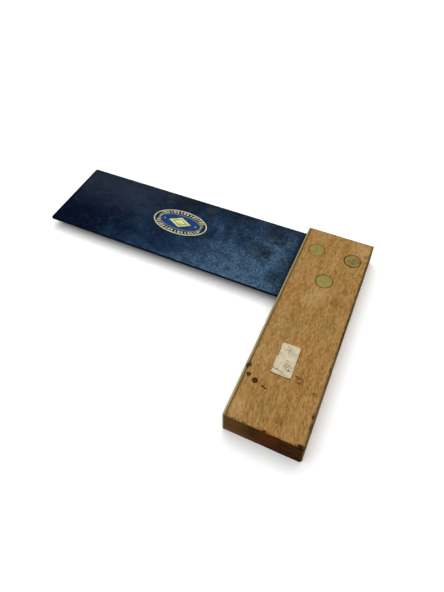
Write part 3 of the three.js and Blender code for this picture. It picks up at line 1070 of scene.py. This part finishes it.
class TRYSQUARE_OT_face_pins(bpy.types.Operator):
    """Small countersunk brass pins that hold the face strip"""
    bl_idname = "try_square.face_pins"
    bl_label = "Face Pins"

    def execute(self, context):
        brass = make_brass("pin_brass", 0.45, 0.9)
        for name in FACE_PINS:
            node = "face_pin_" + name
            low, high, middle = measure(node)
            head = (high.z - low.z) / 2
            deep = high.x - low.x
            tip = [(0.0, deep), (0.55 * MM, deep - 0.1 * MM), (PIN_SHANK, deep - 1.2 * MM)]
            cone = [(PIN_SHANK, 0.95 * MM), (head - 0.04 * MM, 0.12 * MM), (head, 0.05 * MM)]
            flat = [(head - 0.06 * MM, 0.0), (head * 0.5, 0.0), (0.0, 0.0)]
            shape = turned(tip + cone + flat, 40)
            turn(shape, math.pi / 2, "Y")
            move(shape, (low.x, middle.y, middle.z))
            piece = to_object(shape, "brass_" + node)
            settle(piece, brass, "brass", node, sharp=math.radians(40))
        return {"FINISHED"}


class TRYSQUARE_OT_transfer(bpy.types.Operator):
    """Thin oval transfer on the blade"""
    bl_idname = "try_square.transfer"
    bl_label = "Blade Transfer"

    def execute(self, context):
        low, high, middle = measure("blade_transfer")
        shape = bmesh.new()
        bmesh.ops.create_circle(shape, cap_ends=True, segments=160, radius=0.5)
        bmesh.ops.scale(shape, vec=(high.x - low.x, high.y - low.y, 1), verts=shape.verts)
        for vertex in shape.verts:
            wobble = 1 + noise.noise(vertex.co * 300) * 0.004
            vertex.co.x *= wobble
            vertex.co.y *= wobble
        thicken(shape, settings("print").film)
        move(shape, (middle.x, middle.y, low.z))
        piece = to_object(shape, "oval_transfer")
        settle(piece, make_transfer_print(), "transfer_print", "blade_transfer")
        return {"FINISHED"}


class TRYSQUARE_OT_sticker(bpy.types.Operator):
    """Worn paper sticker with a crease and a lifted corner"""
    bl_idname = "try_square.sticker"
    bl_label = "Paper Sticker"

    def execute(self, context):
        look = settings("print")
        width, tall = STICKER_WIDTH, STICKER_TALL
        shape = bmesh.new()
        bmesh.ops.create_grid(shape, x_segments=30, y_segments=54, size=0.5)
        bmesh.ops.scale(shape, vec=(width, tall, 1), verts=shape.verts)
        corner = Vector((-width / 2, -tall / 2, 0))
        soft = 1.1 * MM
        torn_from = 0.4 * MM
        curl_reach = 7.0 * MM
        for vertex in shape.verts:
            place = vertex.co.copy()
            self.round_corner(vertex.co, width / 2 - soft, tall / 2 - soft, soft)
            ragged = noise.noise(place * 700) * 0.12 * MM
            left = max(0.0, -place.x / (width / 2))
            torn = min(1.0, max(0.0, (place.y - torn_from) / (1.2 * MM)))
            vertex.co.x += left ** 6 * (torn * 0.75 * MM + ragged)
            vertex.co.y += (abs(place.y) / (tall / 2)) ** 8 * ragged
            reach = (place - corner).length
            lift = max(0.0, 1 - reach / curl_reach)
            ripple = (noise.noise(place * 260) * 0.5 + 0.5) * 0.10 * MM
            vertex.co.z = ripple + look.curl * lift ** 1.7
        thicken(shape, look.sheet)
        turn(shape, STICKER_TURN, "Z")
        low, _, middle = measure("price_sticker")
        move(shape, (middle.x, middle.y, low.z))
        piece = to_object(shape, "paper_sticker")
        settle(piece, make_paper(), "paper_label", "price_sticker", sharp=math.radians(60))
        return {"FINISHED"}

    def round_corner(self, place, inner_x, inner_y, radius):
        """Draws a point that lies beyond a corner's arc back onto the arc."""
        out = Vector((max(0.0, abs(place.x) - inner_x), max(0.0, abs(place.y) - inner_y)))
        if out.x > 0 and out.y > 0 and out.length > radius:
            out *= radius / out.length
            place.x = math.copysign(inner_x + out.x, place.x)
            place.y = math.copysign(inner_y + out.y, place.y)


class TRYSQUARE_OT_stage(bpy.types.Operator):
    """Pale floor, soft lights and the camera"""
    bl_idname = "try_square.stage"
    bl_label = "Stage"

    def execute(self, context):
        scene = context.scene
        scene.view_settings.view_transform = "Standard"
        self.floor()
        self.light("key_softbox", place=(-0.15, 0.75, 0.95), aim=(-0.02, 0.0, 0.0), size=1.1, power=4.6)
        self.light("top_softbox", place=(-0.1, 0.0, 1.4), aim=(0.0, 0.0, 0.0), size=2.0, power=22.0)
        self.light("fill_softbox", place=(-0.8, -0.7, 0.7), aim=(0.0, 0.0, 0.0), size=0.9, power=0.8)
        self.world(scene)
        self.camera(scene)
        return {"FINISHED"}

    def floor(self):
        shape = bmesh.new()
        bmesh.ops.create_grid(shape, x_segments=1, y_segments=1, size=6.0)
        floor = to_object(shape, "floor")
        floor.data.materials.append(make_floor())

    def light(self, name, place, aim, size, power):
        lamp = bpy.data.lights.new(name, "AREA")
        lamp.shape = "SQUARE"
        lamp.size = size
        lamp.energy = power
        made = bpy.data.objects.new(name, lamp)
        made.location = place
        made.rotation_euler = (Vector(aim) - Vector(place)).to_track_quat("-Z", "Y").to_euler()
        bpy.context.scene.collection.objects.link(made)

    def world(self, scene):
        world = bpy.data.worlds.new("studio")
        world.use_nodes = True
        background = world.node_tree.nodes["Background"]
        background.inputs["Color"].default_value = (1.0, 1.0, 1.0, 1.0)
        background.inputs["Strength"].default_value = settings("stage").surroundings
        scene.world = world

    def camera(self, scene):
        look = settings("stage")
        data = bpy.data.cameras.new("camera")
        data.lens = look.camera_lens
        data.sensor_width = 36.0
        data.sensor_fit = "AUTO"
        data.shift_x, data.shift_y = look.camera_shift
        data.clip_start = 0.01
        camera = bpy.data.objects.new("camera", data)
        camera.location = look.camera_place
        camera.rotation_euler = look.camera_turn
        scene.collection.objects.link(camera)
        scene.camera = camera


class TRYSQUARE_PT_panel(bpy.types.Panel):
    """Lists the pieces of the try square"""
    bl_idname = "TRYSQUARE_PT_panel"
    bl_label = "Try Square"
    bl_space_type = "VIEW_3D"
    bl_region_type = "UI"
    bl_category = "Try Square"

    def draw(self, context):
        for name in SETTINGS:
            group = getattr(context.scene, "try_square_" + name)
            box = self.layout.box()
            for key in group.__annotations__:
                box.prop(group, key)
        for operator in PIECES:
            self.layout.operator(operator.bl_idname)


PIECES = (
    TRYSQUARE_OT_stage,
    TRYSQUARE_OT_stock,
    TRYSQUARE_OT_face_strip,
    TRYSQUARE_OT_blade,
    TRYSQUARE_OT_rivets,
    TRYSQUARE_OT_face_pins,
    TRYSQUARE_OT_transfer,
    TRYSQUARE_OT_sticker,
)
CLASSES = (*SETTINGS.values(), *PIECES, TRYSQUARE_PT_panel)


def register():
    for each in CLASSES:
        bpy.utils.register_class(each)
    for name, group in SETTINGS.items():
        setattr(bpy.types.Scene, "try_square_" + name, bpy.props.PointerProperty(type=group))


def unregister():
    for name in SETTINGS:
        delattr(bpy.types.Scene, "try_square_" + name)
    for each in reversed(CLASSES):
        bpy.utils.unregister_class(each)


def main():
    register()
    for operator in PIECES:
        group, action = operator.bl_idname.split(".")
        getattr(getattr(bpy.ops, group), action)()


if __name__ == "__main__":
    main()
